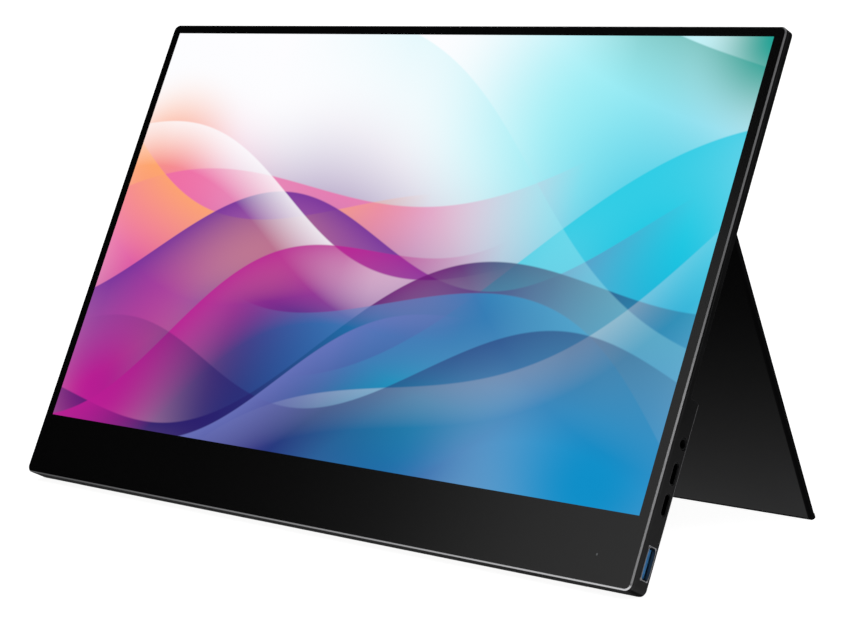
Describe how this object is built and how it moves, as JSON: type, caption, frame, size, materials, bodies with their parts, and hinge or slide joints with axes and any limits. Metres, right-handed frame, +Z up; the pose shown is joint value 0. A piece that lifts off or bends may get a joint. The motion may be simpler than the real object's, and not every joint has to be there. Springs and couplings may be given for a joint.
{
  "type": "portable monitor",
  "caption": "Slim portable flat-panel monitor with a hinged rear kickstand that folds flush into its back, side sockets for cables, a power key and a menu rocker.",
  "frame": {"origin": "on the floor, under the middle of the part as it stands open", "axes": "+X to the viewer's right along the screen, +Y from the screen to the stand behind it, +Z up"},
  "size_m": [0.3551, 0.142, 0.2039],
  "materials": {
    "case": "fine blasted black anodised",
    "frame": "black anodised with a bright cut chamfer",
    "glass": "flat polished cover glass with a black printed border",
    "tape": "black foam adhesive",
    "cell": "polarised cell",
    "film": "white diffuser film",
    "guide": "clear light guide",
    "tray": "thin formed sheet",
    "board": "green solder mask",
    "flex": "amber film",
    "board_plastic": "moulded black",
    "shield": "tinned sheet",
    "socket_steel": "satin plated shell",
    "tongue_black": "moulded black",
    "tongue_blue": "moulded blue",
    "speaker": "moulded black",
    "keys": "fine satin black",
    "light": "clear light pipe",
    "screws": "black plated",
    "hinge": "dark satin steel",
    "stand": "fine soft black",
    "rubber": "matt black"
  },
  "bodies": {
    "monitor": {"audio_jack": "board_plastic", "backlight_tray": "tray", "board_screws": "screws", "border_tape": "tape", "bottom_foot": "rubber", "case_screws": "screws", "cover_glass": "glass", "display_cable": "flex", "display_sockets": "board_plastic", "driver_films": "flex", "front_frame": "frame", "hinge_bracket_left": "hinge", "hinge_bracket_right": "hinge", "hinge_screws": "screws", "lcd_cell": "cell", "led_bar": "board", "light_guide": "guide", "light_pipe": "light", "link_ribbon": "flex", "main_board": "board", "mini_hdmi_shell": "socket_steel", "mini_hdmi_tongue": "tongue_black", "optical_films": "film", "panel_board": "board", "rear_cover": "case", "ribbon_sockets": "board_plastic", "scaler_chip": "board_plastic", "shield_can": "shield", "side_board": "board", "speaker_left": "speaker", "speaker_right": "speaker", "status_led": "light", "tact_switches": "board_plastic", "usb_a_shell": "socket_steel", "usb_a_tongue": "tongue_blue", "usb_c_lower_shell": "socket_steel", "usb_c_lower_tongue": "tongue_black", "usb_c_upper_shell": "socket_steel", "usb_c_upper_tongue": "tongue_black"},
    "stand": {"stand_plate": "stand", "stand_foot": "rubber", "hinge_pin_left": "hinge", "hinge_pin_right": "hinge", "friction_washers": "hinge"},
    "power_key": {"power_button": "keys"},
    "rocker_key": {"menu_rocker": "keys"}
  },
  "joints": [
    {"name": "stand_hinge", "type": "hinge", "parent": "monitor", "child": "stand", "pos_m": [0, 0.0104, 0.14047], "axis": [1, 0, 0], "range_deg": [-50.5, 39.5]},
    {"name": "power_press", "type": "slide", "parent": "monitor", "child": "power_key", "axis": [1, 0, 0], "range_m": [0, 0.0005], "stiffness_N_per_m": 3000, "springref_m": -0.0002},
    {"name": "rocker_tilt", "type": "hinge", "parent": "monitor", "child": "rocker_key", "pos_m": [-0.17158, -0.03962, 0.04782], "axis": [0, 0.8813, -0.4726], "range_deg": [-3, 3], "stiffness_Nm_per_rad": 0.19}
  ]
}
